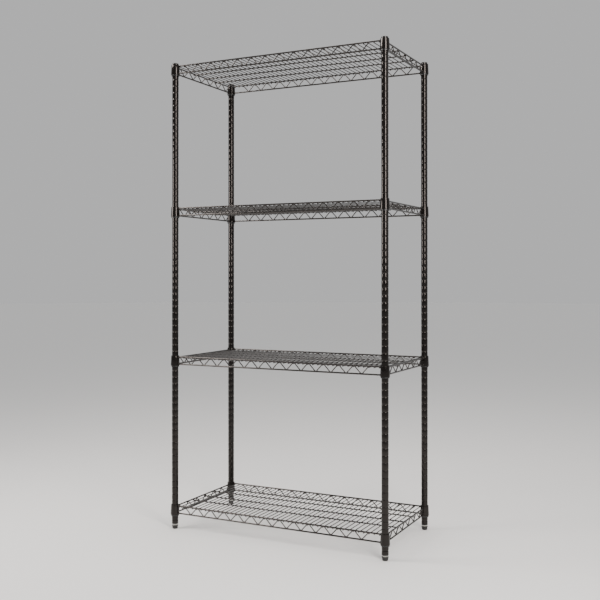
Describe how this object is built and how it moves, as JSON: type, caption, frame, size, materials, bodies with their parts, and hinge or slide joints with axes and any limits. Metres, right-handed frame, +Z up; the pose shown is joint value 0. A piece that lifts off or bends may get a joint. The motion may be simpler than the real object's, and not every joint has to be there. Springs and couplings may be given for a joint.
{
  "type": "wire shelving rack",
  "caption": "Free-standing rack of welded wire shelves with truss edges, on grooved round posts with split sleeves and levelling feet.",
  "frame": {"origin": "on the floor, in the middle of the rack's footprint", "axes": "+Z up the posts, +X along the width to the right, +Y from the front to the back"},
  "size_m": [0.9166, 0.4594, 1.829],
  "materials": {
    "black_epoxy": "gloss",
    "black_plastic": "satin",
    "sleeve_plastic": "satin",
    "foot_plastic": "satin",
    "zinc_plate": "bright"
  },
  "bodies": {
    "rack": {"post_front_left": "black_epoxy", "post_front_right": "black_epoxy", "post_back_left": "black_epoxy", "post_back_right": "black_epoxy", "post_cap_front_left": "black_plastic", "post_cap_front_right": "black_plastic", "post_cap_back_left": "black_plastic", "post_cap_back_right": "black_plastic", "foot_insert_front_left": "black_plastic", "foot_insert_front_right": "black_plastic", "foot_insert_back_left": "black_plastic", "foot_insert_back_right": "black_plastic", "bottom_shelf_sleeves": "sleeve_plastic", "lower_shelf_sleeves": "sleeve_plastic", "upper_shelf_sleeves": "sleeve_plastic", "top_shelf_sleeves": "sleeve_plastic"},
    "bottom_shelf": {"bottom_shelf_collars": "black_epoxy", "bottom_shelf_upper_rods": "black_epoxy", "bottom_shelf_lower_rods": "black_epoxy", "bottom_shelf_front_truss": "black_epoxy", "bottom_shelf_back_truss": "black_epoxy", "bottom_shelf_left_truss": "black_epoxy", "bottom_shelf_right_truss": "black_epoxy", "bottom_shelf_support_rods": "black_epoxy", "bottom_shelf_deck_wires": "black_epoxy"},
    "lower_shelf": {"lower_shelf_collars": "black_epoxy", "lower_shelf_upper_rods": "black_epoxy", "lower_shelf_lower_rods": "black_epoxy", "lower_shelf_front_truss": "black_epoxy", "lower_shelf_back_truss": "black_epoxy", "lower_shelf_left_truss": "black_epoxy", "lower_shelf_right_truss": "black_epoxy", "lower_shelf_support_rods": "black_epoxy", "lower_shelf_deck_wires": "black_epoxy"},
    "upper_shelf": {"upper_shelf_collars": "black_epoxy", "upper_shelf_upper_rods": "black_epoxy", "upper_shelf_lower_rods": "black_epoxy", "upper_shelf_front_truss": "black_epoxy", "upper_shelf_back_truss": "black_epoxy", "upper_shelf_left_truss": "black_epoxy", "upper_shelf_right_truss": "black_epoxy", "upper_shelf_support_rods": "black_epoxy", "upper_shelf_deck_wires": "black_epoxy"},
    "top_shelf": {"top_shelf_collars": "black_epoxy", "top_shelf_upper_rods": "black_epoxy", "top_shelf_lower_rods": "black_epoxy", "top_shelf_front_truss": "black_epoxy", "top_shelf_back_truss": "black_epoxy", "top_shelf_left_truss": "black_epoxy", "top_shelf_right_truss": "black_epoxy", "top_shelf_support_rods": "black_epoxy", "top_shelf_deck_wires": "black_epoxy"},
    "foot_front_left": {"foot_base_front_left": "foot_plastic", "foot_stud_front_left": "zinc_plate"},
    "foot_front_right": {"foot_base_front_right": "foot_plastic", "foot_stud_front_right": "zinc_plate"},
    "foot_back_left": {"foot_base_back_left": "foot_plastic", "foot_stud_back_left": "zinc_plate"},
    "foot_back_right": {"foot_base_back_right": "foot_plastic", "foot_stud_back_right": "zinc_plate"}
  },
  "joints": [
    {"name": "bottom_shelf_lift", "type": "slide", "parent": "rack", "child": "bottom_shelf", "axis": [0, 0, 1], "range_m": [0, 0.535]},
    {"name": "lower_shelf_lift", "type": "slide", "parent": "rack", "child": "lower_shelf", "axis": [0, 0, 1], "range_m": [0, 0.535]},
    {"name": "upper_shelf_lift", "type": "slide", "parent": "rack", "child": "upper_shelf", "axis": [0, 0, 1], "range_m": [0, 0.51]},
    {"name": "top_shelf_lift", "type": "slide", "parent": "rack", "child": "top_shelf", "axis": [0, 0, 1], "range_m": [0, 0.08]},
    {"name": "foot_front_left_screw", "type": "slide", "parent": "rack", "child": "foot_front_left", "axis": [0, 0, -1], "range_m": [0, 0.015]},
    {"name": "foot_front_right_screw", "type": "slide", "parent": "rack", "child": "foot_front_right", "axis": [0, 0, -1], "range_m": [0, 0.015]},
    {"name": "foot_back_left_screw", "type": "slide", "parent": "rack", "child": "foot_back_left", "axis": [0, 0, -1], "range_m": [0, 0.015]},
    {"name": "foot_back_right_screw", "type": "slide", "parent": "rack", "child": "foot_back_right", "axis": [0, 0, -1], "range_m": [0, 0.015]}
  ]
}
